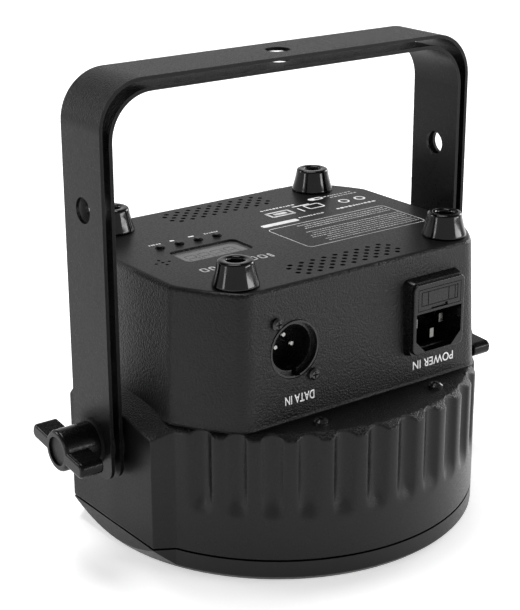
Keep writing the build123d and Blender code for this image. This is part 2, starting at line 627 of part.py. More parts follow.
PIN_TIP_DEPTH = 7.3
with BuildPart() as data_in_pins:
    with BuildSketch(side_plane(SOCKET_FACE_Y - PIN_TIP_DEPTH, -SOCKET_X, SOCKET_Z, -1)) as pins:
        with Locations(PIN_PLACES):
            Circle(1.2)
    extrude(amount=-18.0)
    chamfer(data_in_pins.edges().group_by(Axis.Y)[0], 0.4)
finish(data_in_pins, "data_in_pins")

LATCH_OFFSET = 7.6
data_out_shell_body = data_shell(1, 19.0)
LATCH_PLANE = side_plane(SOCKET_FACE_Y, -SOCKET_X, SOCKET_Z + LATCH_OFFSET, 1)
with BuildPart() as data_out_shell:
    add(data_out_shell_body.part)
    with BuildSketch(LATCH_PLANE) as latch_slot:
        with Locations((0, 3.0)):
            Rectangle(6.6, 6.0)
    extrude(amount=-9.0, mode=Mode.SUBTRACT)
finish(data_out_shell, "data_out_shell")

with BuildPart() as data_out_insert:
    with BuildSketch(side_plane(SOCKET_FACE_Y - 0.6, -SOCKET_X, SOCKET_Z, 1)) as socket_core:
        with Locations((0, -0.9)):
            Circle(6.9)
    extrude(amount=-18.4)
    with BuildSketch(side_plane(SOCKET_FACE_Y - 17.0, -SOCKET_X, SOCKET_Z, 1)) as socket_base:
        Circle(DATA_BORE_RADIUS - 0.05)
    extrude(amount=-2.0)
    with BuildSketch(side_plane(SOCKET_FACE_Y, -SOCKET_X, SOCKET_Z, 1)) as contact_holes:
        with Locations([(x, -1.6 - y * 0.9) for x, y in PIN_PLACES]):
            Circle(1.5)
    extrude(amount=-24.0, mode=Mode.SUBTRACT)
finish(data_out_insert, "data_out_insert")

with BuildPart() as data_out_contacts:
    with BuildSketch(side_plane(SOCKET_FACE_Y - 2.0, -SOCKET_X, SOCKET_Z, 1)) as contacts:
        with Locations([(x, -1.6 - y * 0.9) for x, y in PIN_PLACES]):
            Circle(1.5)
            Circle(1.1, mode=Mode.SUBTRACT)
    extrude(amount=-20.0)
finish(data_out_contacts, "data_out_contacts")

with BuildPart() as data_out_latch:
    with BuildSketch(side_plane(SOCKET_FACE_Y + 1.8, -SOCKET_X, SOCKET_Z + LATCH_OFFSET, 1)) as latch_tab:
        with Locations((0, 1.9)):
            RectangleRounded(5.8, 3.4, 0.8)
    extrude(amount=-8.0)
finish(data_out_latch, "data_out_latch")

with BuildPart() as connector_screws:
    for facing in (-1, 1):
        for sign in (-1, 1):
            place = side_plane(SOCKET_FACE_Y, -SOCKET_X, SOCKET_Z, facing)
            slope_y = 0.45 * sign - 0.05
            spot = place.from_local_coords((sign * facing * DATA_SCREW_X, sign * DATA_SCREW_Z, -slope_y))
            with Locations(Plane(origin=spot, x_dir=place.x_dir, z_dir=place.z_dir).location):
                pan_screw(2.45, 1.6, 1.2, 9.0)
finish(connector_screws, "connector_screws")

# ---------------------------------------------------------------- power inlet with fuse drawer
POWER_FRONT_Y = SOCKET_FACE_Y + POWER_PROUD
POWER_STEP = 1.4
POWER_FRONT = side_plane(POWER_FRONT_Y, SOCKET_X, SOCKET_Z, -1)
DRAWER_Z = 8.3
DRAWER_WIDTH, DRAWER_HEIGHT = 23.6, 9.4
INLET_Z = INLET_CENTRE_Z - SOCKET_Z
INLET_DEPTH = 17.0
CHAMFER_SIZE = 5.2


def inlet_outline(width, height, cut):
    """The inlet opening: a rectangle with its two lower corners cut off."""
    half_w, half_h = width / 2, height / 2
    with BuildSketch(mode=Mode.PRIVATE) as outline:
        with BuildLine():
            Polyline(
                (-half_w, half_h),
                (half_w, half_h),
                (half_w, -half_h + cut),
                (half_w - cut, -half_h),
                (-half_w + cut, -half_h),
                (-half_w, -half_h + cut),
                close=True,
            )
        make_face()
    return outline.sketch


with BuildPart() as power_in_body:
    block_back = SOCKET_FACE_Y - 1.2
    with BuildSketch(side_plane(block_back, SOCKET_X, SOCKET_Z, -1)) as block_base:
        RectangleRounded(POWER_WIDTH + 2.4, POWER_HEIGHT + 2.4, 2.4)
    with BuildSketch(side_plane(POWER_FRONT_Y - POWER_STEP, SOCKET_X, SOCKET_Z, -1)) as block_front:
        RectangleRounded(POWER_WIDTH + 0.6, POWER_HEIGHT + 0.6, 2.6)
    loft()
    with BuildSketch(POWER_FRONT) as face_plate:
        RectangleRounded(POWER_WIDTH - 0.6, POWER_HEIGHT - 0.6, 2.6)
    extrude(amount=-POWER_STEP)
    fillet(power_in_body.faces().sort_by(Axis.Y)[0].outer_wire().edges(), 0.5)
    add(rear_housing_solid, mode=Mode.SUBTRACT)
    with BuildSketch(POWER_FRONT) as inner_body:
        Rectangle(POWER_WIDTH - 2.8, POWER_HEIGHT - 2.8)
    extrude(amount=-29.0)
    with BuildSketch(POWER_FRONT) as inlet_opening:
        with Locations((0, INLET_Z)):
            add(inlet_outline(INLET_WIDTH, INLET_HEIGHT, CHAMFER_SIZE))
    extrude(amount=-INLET_DEPTH, mode=Mode.SUBTRACT)
    with BuildSketch(POWER_FRONT) as drawer_slot:
        with Locations((0, DRAWER_Z)):
            Rectangle(DRAWER_WIDTH, DRAWER_HEIGHT)
    extrude(amount=-24.0, mode=Mode.SUBTRACT)
    with BuildSketch(POWER_FRONT) as blade_slots:
        with Locations((-7.0, INLET_Z + 1.6), (7.0, INLET_Z + 1.6), (0, INLET_Z - 2.9)):
            Rectangle(2.0, 4.0)
    extrude(amount=-30.0, mode=Mode.SUBTRACT)
finish(power_in_body, "power_in_body")

# the earth blade in the middle stands a little further forward than the other two
with BuildPart() as power_in_pins:
    for tip_depth, blade_places in ((6.5, [(-7.0, 1.6), (7.0, 1.6)]), (4.2, [(0, -2.9)])):
        blade_plane = side_plane(POWER_FRONT_Y - tip_depth, SOCKET_X, INLET_CENTRE_Z, -1)
        with BuildSketch(blade_plane) as blades:
            with Locations(blade_places):
                RectangleRounded(2.0, 4.0, 0.3)
        extrude(amount=tip_depth - 36.0)
finish(power_in_pins, "power_in_pins")

DRAWER_GAP = 0.25
FUSE_RADIUS = 2.5
FUSE_Z = SOCKET_Z + DRAWER_Z
with BuildPart() as fuse_drawer:
    with BuildSketch(POWER_FRONT) as drawer_face:
        with Locations((0, DRAWER_Z)):
            Rectangle(DRAWER_WIDTH - 2 * DRAWER_GAP, DRAWER_HEIGHT - 2 * DRAWER_GAP)
    extrude(amount=-22.0)
    # the well that holds the fuse, and the nail groove under the face
    with Locations((SOCKET_X, -POWER_FRONT_Y + 13.0, FUSE_Z - FUSE_RADIUS - 0.1)):
        Box(DRAWER_WIDTH - 4.0, 14.0, DRAWER_HEIGHT, align=BOTTOM, mode=Mode.SUBTRACT)
    with Locations((SOCKET_X, -POWER_FRONT_Y, SOCKET_Z + DRAWER_Z - DRAWER_HEIGHT / 2 + 0.9)):
        Box(9.0, 1.6, 1.4, mode=Mode.SUBTRACT)
    with BuildSketch(POWER_FRONT) as face_lines:
        with Locations((0, DRAWER_Z + 0.4)):
            Rectangle(DRAWER_WIDTH - 3.4, DRAWER_HEIGHT - 3.2)
            Rectangle(DRAWER_WIDTH - 4.2, DRAWER_HEIGHT - 4.0, mode=Mode.SUBTRACT)
        with Locations((-6.4, DRAWER_Z + 0.4), (4.9, DRAWER_Z + 0.4), (8.4, DRAWER_Z + 0.4)):
            Rectangle(0.4, DRAWER_HEIGHT - 3.6)
    extrude(amount=-0.4, mode=Mode.SUBTRACT)
finish(fuse_drawer, "fuse_drawer")

with BuildPart() as fuse:
    with Locations((SOCKET_X, -POWER_FRONT_Y + 13.0, FUSE_Z)):
        Cylinder(2.2, 18.0, rotation=ALONG_X)
        for sign in (-1, 1):
            with Locations((sign * 6.9, 0, 0)):
                Cylinder(FUSE_RADIUS, 4.6, rotation=ALONG_X)
finish(fuse, "fuse")

# ---------------------------------------------------------------- power outlet
OUTLET_FRONT = side_plane(SOCKET_FACE_Y + 2.4, SOCKET_X, OUTLET_CENTRE_Z, 1)
with BuildPart() as power_out_body:
    with BuildSketch(OUTLET_FRONT) as outlet_flange:
        RectangleRounded(31.5, 26.0, 2.0)
    extrude(amount=-4.0)
    add(rear_housing_solid, mode=Mode.SUBTRACT)
    with BuildSketch(OUTLET_FRONT) as outlet_block:
        Rectangle(INLET_WIDTH + 2.6, INLET_HEIGHT + 4.6)
    extrude(amount=-26.0)
    with BuildSketch(OUTLET_FRONT) as outlet_well:
        add(inlet_outline(INLET_WIDTH, INLET_HEIGHT + 1.0, CHAMFER_SIZE))
    extrude(amount=-16.0, mode=Mode.SUBTRACT)
    with BuildSketch(side_plane(SOCKET_FACE_Y + 2.0, SOCKET_X, OUTLET_CENTRE_Z, 1)) as outlet_core:
        add(inlet_outline(INLET_WIDTH - 5.2, INLET_HEIGHT - 4.2, CHAMFER_SIZE - 1.6))
    extrude(amount=-16.0)
    with BuildSketch(OUTLET_FRONT) as outlet_slots:
        with Locations((-7.0, 0.8), (7.0, 0.8), (0, -3.2)):
            Rectangle(2.4, 4.4)
    extrude(amount=-27.0, mode=Mode.SUBTRACT)
finish(power_out_body, "power_out_body")

with BuildPart() as power_out_contacts:
    with BuildSketch(side_plane(SOCKET_FACE_Y - 2.0, SOCKET_X, OUTLET_CENTRE_Z, 1)) as outlet_contacts:
        with Locations((-7.0, 0.8), (7.0, 0.8), (0, -3.2)):
            Rectangle(2.4, 4.4)
            Rectangle(1.4, 3.4, mode=Mode.SUBTRACT)
    extrude(amount=-24.0)
finish(power_out_contacts, "power_out_contacts")

# ---------------------------------------------------------------- yokes and their clamps


def yoke(outer_x, top_z, bend):
    """A U-shaped strap with rounded leg ends, two pivot holes and three clamp holes."""
    with BuildPart() as strap:
        with BuildSketch(Plane.XZ) as strap_side:
            with BuildLine():
                outer_line = FilletPolyline(
                    (-outer_x, STRAP_END_Z), (-outer_x, top_z), (outer_x, top_z), (outer_x, STRAP_END_Z), radius=bend
                )
                inner_x, inner_top = outer_x - STRAP_THICKNESS, top_z - STRAP_THICKNESS
                inner_line = FilletPolyline(
                    (-inner_x, STRAP_END_Z),
                    (-inner_x, inner_top),
                    (inner_x, inner_top),
                    (inner_x, STRAP_END_Z),
                    radius=bend - STRAP_THICKNESS,
                )
                Line(outer_line @ 0, inner_line @ 0)
                Line(outer_line @ 1, inner_line @ 1)
            make_face()
        extrude(amount=STRAP_HALF_WIDTH, both=True)
        leg_ends = strap.edges().filter_by(Axis.X).group_by(Axis.Z)[0]
        fillet(leg_ends, STRAP_END_ROUND)
        with Locations((0, 0, AXIS_Z)):
            Cylinder(PIVOT_HOLE_RADIUS, 4 * outer_x, rotation=ALONG_X, mode=Mode.SUBTRACT)
        with Locations((0, 0, SIDE_HOLE_Z)):
            Cylinder(CLAMP_HOLE_RADIUS, 4 * outer_x, rotation=ALONG_X, mode=Mode.SUBTRACT)
        with Locations((0, 0, top_z)):
            Cylinder(CLAMP_HOLE_RADIUS, 20.0, mode=Mode.SUBTRACT)
    return strap


finish(yoke(OUTER_STRAP_X, OUTER_STRAP_TOP, OUTER_BEND), "outer_yoke")
finish(yoke(INNER_STRAP_X, INNER_STRAP_TOP, INNER_BEND), "inner_yoke")


def washer_pair(inside_x, outside_x, radius):
    """A washer on each side of the light, filling the gap between two faces."""
    thickness = outside_x - inside_x - 2 * FACE_GAP
    with BuildPart() as washers:
        for side in (-1, 1):
            with Locations((side * (inside_x + outside_x) / 2, 0, AXIS_Z)):
                Cylinder(radius, thickness, rotation=ALONG_X)
                Cylinder(PIVOT_HOLE_RADIUS, thickness, rotation=ALONG_X, mode=Mode.SUBTRACT)
    return washers


finish(washer_pair(BOSS_X, INNER_STRAP_X - STRAP_THICKNESS, 12.0), "friction_washers")
finish(washer_pair(INNER_STRAP_X, OUTER_STRAP_X - STRAP_THICKNESS, 11.0), "strap_spacers")

KNOB_WASHER_THICKNESS = 1.0
HUB_RADIUS = 8.6
HUB_START = OUTER_STRAP_X + FACE_GAP + KNOB_WASHER_THICKNESS + FACE_GAP
HUB_END = 110.6
WING_START = 100.2
WING_HALF_LENGTH = 19.6
WING_THICKNESS = 6.4
CAP_RADIUS, CAP_RECESS = 6.0, 2.0
WING_TURN = {"left": -8.5, "right": 3.0}

for side_name, side in (("left", -1), ("right", 1)):
    # sketches on this plane have Y to their right and Z up, and grow outwards from the light
    outward = Plane(origin=(side * HUB_START, 0, AXIS_Z), x_dir=(0, side, 0), z_dir=(side, 0, 0))

    with BuildPart() as knob:
        with BuildSketch(outward.offset(WING_START - HUB_START)) as wings:
            Circle(HUB_RADIUS)
            with Locations(Location((0, 0, 0), (0, 0, WING_TURN[side_name]))):
                Rectangle(2 * WING_HALF_LENGTH, WING_THICKNESS)
            inner_corners = [v for v in wings.vertices() if v.distance_to(wings.face().center()) < HUB_RADIUS + 1]
            outer_corners = [v for v in wings.vertices() if v.distance_to(wings.face().center()) > HUB_RADIUS + 1]
            fillet(outer_corners, 2.8)
            fillet(inner_corners, 2.5)
        extrude(amount=HUB_END - WING_START)
        fillet(knob.faces().sort_by(Axis.X)[-1 if side > 0 else 0].outer_wire().edges(), 1.4)
        fillet(knob.faces().sort_by(Axis.X)[0 if side > 0 else -1].outer_wire().edges(), 0.9)
        with BuildSketch(outward) as hub:
            Circle(HUB_RADIUS)
        extrude(amount=HUB_END - HUB_START - 3.0)
        with BuildSketch(outward.offset(HUB_END - HUB_START)) as cap_recess:
            Circle(CAP_RADIUS + 0.02)
        extrude(amount=-CAP_RECESS - 1.2, mode=Mode.SUBTRACT)
        with BuildSketch(outward) as stud_hole:
            Circle(STUD_RADIUS)
        extrude(amount=11.0, mode=Mode.SUBTRACT)
    finish(knob, f"{side_name}_knob")

    with BuildPart() as knob_cap:
        with BuildSketch(outward.offset(HUB_END - HUB_START - CAP_RECESS - 1.2)) as cap_disc:
            Circle(CAP_RADIUS)
        extrude(amount=2.0)
    finish(knob_cap, f"{side_name}_knob_cap")

    with BuildPart() as stud:
        with BuildSketch(outward.offset(11.0)) as stud_section:
            Circle(STUD_RADIUS)
        extrude(amount=-(HUB_START + 11.0 - 77.0))
    finish(stud, f"{side_name}_stud")

    with BuildPart() as knob_washer:
        with BuildSketch(outward.offset(-FACE_GAP)) as washer_section:
            Circle(9.5)
            Circle(PIVOT_HOLE_RADIUS, mode=Mode.SUBTRACT)
        extrude(amount=-KNOB_WASHER_THICKNESS)
    finish(knob_washer, f"{side_name}_knob_washer")

# ---------------------------------------------------------------- leads inside the light
def lead(points, bend_radii, radius):
    """A lead of straight runs and tangent arcs, with a round section."""
    with BuildPart() as tube:
        with BuildLine() as path:
            FilletPolyline(*points, radius=bend_radii)
        with BuildSketch(Plane(origin=path.wire() @ 0, z_dir=path.wire() % 0)) as section:
            Circle(radius)
        sweep()
    return tube.part


with BuildPart() as inner_leads:
    # from the board's terminal down past the fins and through the sink to the LED holder
    add(
        lead(
            [
                (LAMP_LEAD_X, 23.0, 94.0),
                (LAMP_LEAD_X, LAMP_LEAD_Y, 94.0),
                (LAMP_LEAD_X, LAMP_LEAD_Y, 53.3),
                (LAMP_LEAD_X, 19.0, 53.3),
            ],
            [9.0, 3.0],
            1.2,
        )
    )
    # from the data socket's pins up to the control board
    add(lead([(DATA_LEAD_X, -32.9, 92.4), (DATA_LEAD_X, -10.0, 92.4), (DATA_LEAD_X, -10.0, 106.6)], [10.0], 1.4))
    # a pair from the power inlet straight to the board's terminal
    with Locations((SOCKET_X - 2.5, -34.3, 94.0), (SOCKET_X + 2.5, -34.3, 94.0)):
        Cylinder(1.6, 13.3, rotation=FACING_BACK, align=BOTTOM)
finish(inner_leads, "inner_leads")
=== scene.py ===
import math
import random

import bmesh
import bpy
from mathutils import Matrix, Vector, geometry


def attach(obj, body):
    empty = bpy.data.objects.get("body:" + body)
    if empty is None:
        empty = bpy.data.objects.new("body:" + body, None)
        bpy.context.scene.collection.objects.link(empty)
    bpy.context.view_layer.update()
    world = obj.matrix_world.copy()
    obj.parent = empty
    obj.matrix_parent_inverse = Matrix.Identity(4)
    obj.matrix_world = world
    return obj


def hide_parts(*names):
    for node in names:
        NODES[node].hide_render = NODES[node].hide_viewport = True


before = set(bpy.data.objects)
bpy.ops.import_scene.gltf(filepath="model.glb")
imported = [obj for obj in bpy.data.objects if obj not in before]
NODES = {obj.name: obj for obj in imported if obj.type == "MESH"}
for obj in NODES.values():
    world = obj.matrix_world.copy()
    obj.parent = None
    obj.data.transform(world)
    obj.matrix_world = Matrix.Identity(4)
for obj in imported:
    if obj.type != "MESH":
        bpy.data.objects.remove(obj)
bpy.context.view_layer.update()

MM = 0.001

# ------------------------------------------------------------------ sizes from the CAD model, mm
RING_R = 85.8            # outside of the front housing
RING_INNER = 80.3
RING_BOTTOM = 9.5
LEDGE_Z = 63.2           # top of the flat ledge round the rear housing
DECK_BOTTOM = 60.2
DECK_HOLE = 56.5         # radius of the hole in the ledge
PANEL_Z = 119.0          # top of the rear panel
BOSS_X, BOSS_HALF = 86.0, 31.1      # flat face of a side boss and half its width
CHEEK_X, CHEEK_Y = 77.9, 35.7       # where a boss's slanted cheek ends
SHOULDER_R, SHOULDER_Z, SHOULDER_SLOPE = 77.5, 66.8, 0.693
FLUTES, FLUTE_PITCH = 13, 9.6       # on each side, and degrees from one to the next
FLUTE_R, FLUTE_DEPTH, FLUTE_BALL_Z = 4.8, 2.7, 30.8
FEET_X, FEET_Y = 54.0, 44.8
FACE_Y = (59.3, 57.2)    # the socket faces at the ledge and at the panel

# ------------------------------------------------------------------ softening of the moulded shapes, mm
FLUTE_SOFT = 0.95        # how far a flute's rim is rounded
FLUTE_RIM = 0.4          # width of the rim, inside the flute's own radius
FLUTE_RUNOUT = 1.3       # slope with which a flute runs out beyond its rim
FLUTE_REACH = 9.0        # nothing of a flute is left this far from its middle
FLUTE_START, FLUTE_RISE = 6.0, 13.0     # a flute begins so far below its ball centre, and deepens so long
BALL_STRETCH = 0.8       # the lower end is a little longer than a ball
WALL_TOP = 56.0          # height at which the flutes meet the rounded rim
RIM_WIDTH = 0.8
RIM_POINTS = ((0.0, -1.0), (0.08, -0.35), (0.35, 0.12))  # inset from the wall, and height over the cone
FILLET_POINTS = ((-0.4, -0.02), (0.75, -0.02), (0.42, 0.1), (0.18, 0.34),
                 (0.06, 0.75), (-0.02, 1.3), (-0.4, 1.3))  # out from the wall, and height over the ledge

# ------------------------------------------------------------------ detail of the new pieces, mm
RING_COLUMNS = 1500
FOOT_COLUMNS = 96
MARK_LOW, MARK_HIGH = -0.02, 0.03   # printed marks, under and over the surface
LETTER_HEIGHT, FONT_RATIO = 3.6, 1.42   # capital height, and font size over capital height


# ------------------------------------------------------------------ node helpers
def new_material(name):
    mat = bpy.data.materials.new(name)
    mat.use_nodes = True
    tree = mat.node_tree
    return mat, tree, tree.nodes["Principled BSDF"]


def node(tree, kind, **values):
    made = tree.nodes.new(kind)
    for key, value in values.items():
        if key in made.inputs:
            made.inputs[key].default_value = value
        else:
            setattr(made, key, value)
    return made


def coords(tree):
    return tree.nodes.new("ShaderNodeTexCoord").outputs["Object"]


def noise(tree, scale, detail=3.0, rough=0.55, vector=None):
    made = node(tree, "ShaderNodeTexNoise", Scale=scale, Detail=detail, Roughness=rough)
    tree.links.new(vector or coords(tree), made.inputs["Vector"])
    return made.outputs["Fac"]


def ramp(tree, fac, low, high, stops=(0.35, 0.65)):
    made = tree.nodes.new("ShaderNodeMapRange")
    made.inputs["From Min"].default_value, made.inputs["From Max"].default_value = stops
    made.inputs["To Min"].default_value, made.inputs["To Max"].default_value = low, high
    tree.links.new(fac, made.inputs["Value"])
    return made.outputs["Result"]


def mix_color(tree, fac, first, second):
    made = tree.nodes.new("ShaderNodeMix")
    made.data_type = "RGBA"
    made.inputs[6].default_value = (*first, 1)
    made.inputs[7].default_value = (*second, 1)
    tree.links.new(fac, made.inputs[0])
    return made.outputs[2]


def facing_value(tree, low, high, stops):
    """A value that changes with how far a surface faces up when the light stands on its lens."""
    split = tree.nodes.new("ShaderNodeSeparateXYZ")
    tree.links.new(tree.nodes.new("ShaderNodeTexCoord").outputs["Normal"], split.inputs["Vector"])
    return ramp(tree, split.outputs["Z"], low, high, stops)


def bump(tree, shader, height, strength, distance, share=None):
    made = node(tree, "ShaderNodeBump", Strength=strength, Distance=distance)
    tree.links.new(height, made.inputs["Height"])
    if share:
        tree.links.new(share, made.inputs["Strength"])
    tree.links.new(made.outputs["Normal"], shader.inputs["Normal"])


def edge_wear_and_highlight(tree, radius):
    """1 on open edges and 0 elsewhere, from how far a rounded normal turns from the true one; it places the
    paler edge colour, which is partly wear and partly a painted highlight.
    """
    bevel = node(tree, "ShaderNodeBevel", Radius=radius, samples=4)
    true_normal = tree.nodes.new("ShaderNodeNewGeometry")
    dot = node(tree, "ShaderNodeVectorMath", operation="DOT_PRODUCT")
    tree.links.new(bevel.outputs["Normal"], dot.inputs[0])
    tree.links.new(true_normal.outputs["Normal"], dot.inputs[1])
    return ramp(tree, dot.outputs["Value"], 1.0, 0.0, (0.86, 0.985))


def coated(name, base, rough, grain, grain_depth, spread=0.25, wear_and_highlight=0.0, coat=0.0,
           specular=0.5, cloud=25.0, facing=None):
    """A dark coat or moulding: colour clouds, a rough or smooth grain, and paler edges that are partly
    rubbed wear and partly a painted highlight.
    """
    mat, tree, shader = new_material(name)
    clouds = noise(tree, cloud, 4.0)
    dark = [c * (1 - spread) for c in base]
    light = [c * (1 + spread) for c in base]
    color = mix_color(tree, ramp(tree, clouds, 0.0, 1.0), dark, light)
    # paler colour on open edges: partly wear, partly a painted highlight along edges that catch the light
    if wear_and_highlight:
        wear_and_highlight_mix = tree.nodes.new("ShaderNodeMix")
        wear_and_highlight_mix.data_type = "RGBA"
        wear_and_highlight_mask = node(tree, "ShaderNodeMath", operation="MULTIPLY")
        tree.links.new(edge_wear_and_highlight(tree, 0.0009), wear_and_highlight_mask.inputs[0])
        tree.links.new(ramp(tree, noise(tree, 420.0, 4.0), 0.0, wear_and_highlight, (0.35, 0.7)), wear_and_highlight_mask.inputs[1])
        tree.links.new(wear_and_highlight_mask.outputs[0], wear_and_highlight_mix.inputs[0])
        tree.links.new(color, wear_and_highlight_mix.inputs[6])
        wear_and_highlight_mix.inputs[7].default_value = (*[min(1.0, c * 4.0 + 0.03) for c in base], 1)
        color = wear_and_highlight_mix.outputs[2]
    tree.links.new(color, shader.inputs["Base Color"])
    grain_value = noise(tree, grain, 2.0, 0.6)
    tree.links.new(ramp(tree, grain_value, rough - 0.07, rough + 0.07), shader.inputs["Roughness"])
    share = facing_value(tree, *facing) if facing else None
    bump(tree, shader, grain_value, 1.0, grain_depth * MM, share)
    shader.inputs["Specular IOR Level"].default_value = specular
    if coat:
        shader.inputs["Coat Weight"].default_value = coat
        shader.inputs["Coat Roughness"].default_value = 0.12
    return mat


def metal(name, base, rough, grain, spread):
    """Bare or plated metal with fine streaks and uneven polish."""
    mat, tree, shader = new_material(name)
    shader.inputs["Metallic"].default_value = 1.0
    streaks = noise(tree, grain, 3.0)
    dark = [c * (1 - spread) for c in base]
    color = mix_color(tree, ramp(tree, streaks, 0.0, 1.0), dark, base)
    tree.links.new(color, shader.inputs["Base Color"])
    patches = noise(tree, grain * 0.4, 3.0)
    tree.links.new(ramp(tree, patches, rough - 0.06, rough + 0.08), shader.inputs["Roughness"])
    bump(tree, shader, streaks, 0.6, 0.01 * MM)
    return mat


def clear(name, tint, rough):
    """Clear glass with a faint unevenness."""
    mat, tree, shader = new_material(name)
    tree.links.new(
        mix_color(tree, ramp(tree, noise(tree, 30.0), 0.0, 1.0), [c * 0.97 for c in tint], tint),
        shader.inputs["Base Color"],
    )
    shader.inputs["Transmission Weight"].default_value = 1.0
    shader.inputs["IOR"].default_value = 1.46
    tree.links.new(ramp(tree, noise(tree, 60.0, 4.0), rough, rough + 0.03), shader.inputs["Roughness"])
    return mat


# base colour, roughness, grain per metre and grain depth in mm, then what differs from a plain coat
COATS = {
    "ring_paint": ((0.003, 0.003, 0.0033), 0.34, 1300.0, 0.5,
                   {"spread": 0.15, "wear_and_highlight": 0.25, "specular": 0.25, "facing": (0.035, 1.0, (0.25, 0.5))}),
    # the next coat is the ring paint with less reflection and grain: painted shade on the flat faces of the
    # bosses
    "boss_shaded_paint": ((0.003, 0.003, 0.0033), 0.42, 1300.0, 0.02,
                   {"spread": 0.15, "wear_and_highlight": 0.25, "specular": 0.13}),
    "housing_paint": ((0.003, 0.003, 0.0033), 0.38, 1150.0, 0.42,
                      {"spread": 0.15, "wear_and_highlight": 0.3, "specular": 0.255, "facing": (1.0, 0.03, (0.75, 0.96))}),
    "strap_paint": ((0.003, 0.003, 0.0033), 0.34, 1200.0, 0.5,
                    {"spread": 0.15, "wear_and_highlight": 0.5, "specular": 0.145, "facing": (0.06, 1.0, (0.05, 0.35))}),
    "bezel_paint": ((0.003, 0.003, 0.003), 0.36, 900.0, 0.03, {"wear_and_highlight": 0.2, "specular": 0.28}),
    "rubber": ((0.002, 0.002, 0.002), 0.13, 300.0, 0.004, {"specular": 0.32}),
    "gasket": ((0.015, 0.015, 0.015), 0.7, 500.0, 0.03, {}),
    "knob_plastic": ((0.003, 0.003, 0.0033), 0.22, 1300.0, 0.02, {"wear_and_highlight": 0.1, "specular": 0.17}),
    "knob_cap": ((0.005, 0.005, 0.005), 0.5, 1500.0, 0.14, {"specular": 0.3}),
    "socket_plastic": ((0.003, 0.003, 0.0033), 0.26, 900.0, 0.012, {"wear_and_highlight": 0.1, "specular": 0.32}),
    "shell_metal": ((0.004, 0.004, 0.0043), 0.30, 900.0, 0.02, {"wear_and_highlight": 0.5, "specular": 0.4}),
    "washer": ((0.005, 0.005, 0.005), 0.5, 900.0, 0.02, {"specular": 0.3}),
    "black_screw": ((0.006, 0.006, 0.006), 0.2, 1800.0, 0.01, {"wear_and_highlight": 0.8, "specular": 0.5}),
    "led": ((0.72, 0.50, 0.05), 0.4, 500.0, 0.02, {"spread": 0.1}),
    "white_plastic": ((0.70, 0.70, 0.68), 0.4, 500.0, 0.01, {"spread": 0.05}),
    "board": ((0.03, 0.14, 0.06), 0.4, 900.0, 0.01, {}),
    "component": ((0.05, 0.05, 0.055), 0.45, 900.0, 0.02, {}),
    "terminal": ((0.05, 0.22, 0.09), 0.45, 700.0, 0.02, {}),
    "window": ((0.125, 0.118, 0.123), 0.24, 120.0, 0.004, {"spread": 0.06, "coat": 0.15}),
    "segments": ((0.045, 0.043, 0.045), 0.4, 120.0, 0.004, {"spread": 0.1}),
    "button": ((0.003, 0.003, 0.003), 0.3, 900.0, 0.01, {"specular": 0.25}),
    "print": ((0.82, 0.82, 0.82), 0.6, 2500.0, 0.01, {"spread": 0.12, "cloud": 160.0}),
    "faint_print": ((0.62, 0.62, 0.62), 0.6, 2500.0, 0.01, {"spread": 0.2, "cloud": 200.0}),
    "lead": ((0.014, 0.014, 0.015), 0.35, 300.0, 0.01, {}),
}
# base colour, roughness, streaks per metre and how far the streaks darken
METALS = {
    "steel": ((0.55, 0.55, 0.56), 0.3, 1400.0, 0.12),
    "pin_metal": ((0.34, 0.335, 0.32), 0.2, 1400.0, 0.12),
    # the next metal is the pin metal made darker, a painted shade for the blades deep in the power inlet
    "shaded_blade_metal": ((0.16, 0.158, 0.15), 0.2, 1400.0, 0.12),
    "brass": ((0.72, 0.52, 0.24), 0.3, 1400.0, 0.12),
    "aluminium": ((0.72, 0.73, 0.74), 0.36, 1400.0, 0.12),
    "mirror": ((0.88, 0.88, 0.88), 0.16, 300.0, 0.04),
}
M = {
    "glass": clear("glass", (0.94, 0.96, 0.97), 0.02),
    "fuse_glass": clear("fuse_glass", (0.95, 0.96, 0.97), 0.03),
}
for name, (base, rough, grain, grain_depth, extra) in COATS.items():
    M[name] = coated(name, base, rough, grain, grain_depth, **extra)
for name, (base, rough, grain, spread) in METALS.items():
    M[name] = metal(name, base, rough, grain, spread)

NODE_MATERIALS = {
    "bezel_paint": ["front_bezel"],
    "black_screw": ["bezel_screws", "ledge_screws", "foot_screws", "connector_screws"],
    "gasket": ["glass_gasket"],
    "glass": ["front_glass"],
    "mirror": ["reflector"],
    "white_plastic": ["led_holder"],
    "led": ["cob_led"],
    "aluminium": ["heat_sink", "microphone"],
    "steel": [
        "heat_sink_screws", "chassis_plate", "chassis_screws", "board_screws", "left_stud", "right_stud",
    ],
    "ring_paint": ["front_housing"],
    "brass": ["boss_inserts", "board_standoffs"],
    "housing_paint": ["rear_housing"],
    "rubber": ["rubber_feet"],
    "window": ["display_window"],
    "board": ["control_board", "power_board"],
    "component": ["display_module", "tact_switches", "transformer", "capacitors"],
    "button": ["menu_button", "down_button", "up_button", "enter_button"],
    "terminal": ["board_terminals"],
    "shell_metal": ["data_in_shell", "data_out_shell", "data_out_latch"],
    "socket_plastic": [
        "data_in_insert", "data_out_insert", "power_in_body", "fuse_drawer", "power_out_body",
    ],
    "pin_metal": ["data_in_pins", "data_out_contacts", "power_out_contacts"],
    "shaded_blade_metal": ["power_in_pins"],
    "fuse_glass": ["fuse"],
    "strap_paint": ["outer_yoke", "inner_yoke"],
    "washer": ["friction_washers", "strap_spacers", "left_knob_washer", "right_knob_washer"],
    "knob_plastic": ["left_knob", "right_knob"],
    "knob_cap": ["left_knob_cap", "right_knob_cap"],
    "lead": ["inner_leads"],
}
for material, node_names in NODE_MATERIALS.items():
    for name in node_names:
        slots = NODES[name].data.materials
        slots.clear()
        slots.append(M[material])


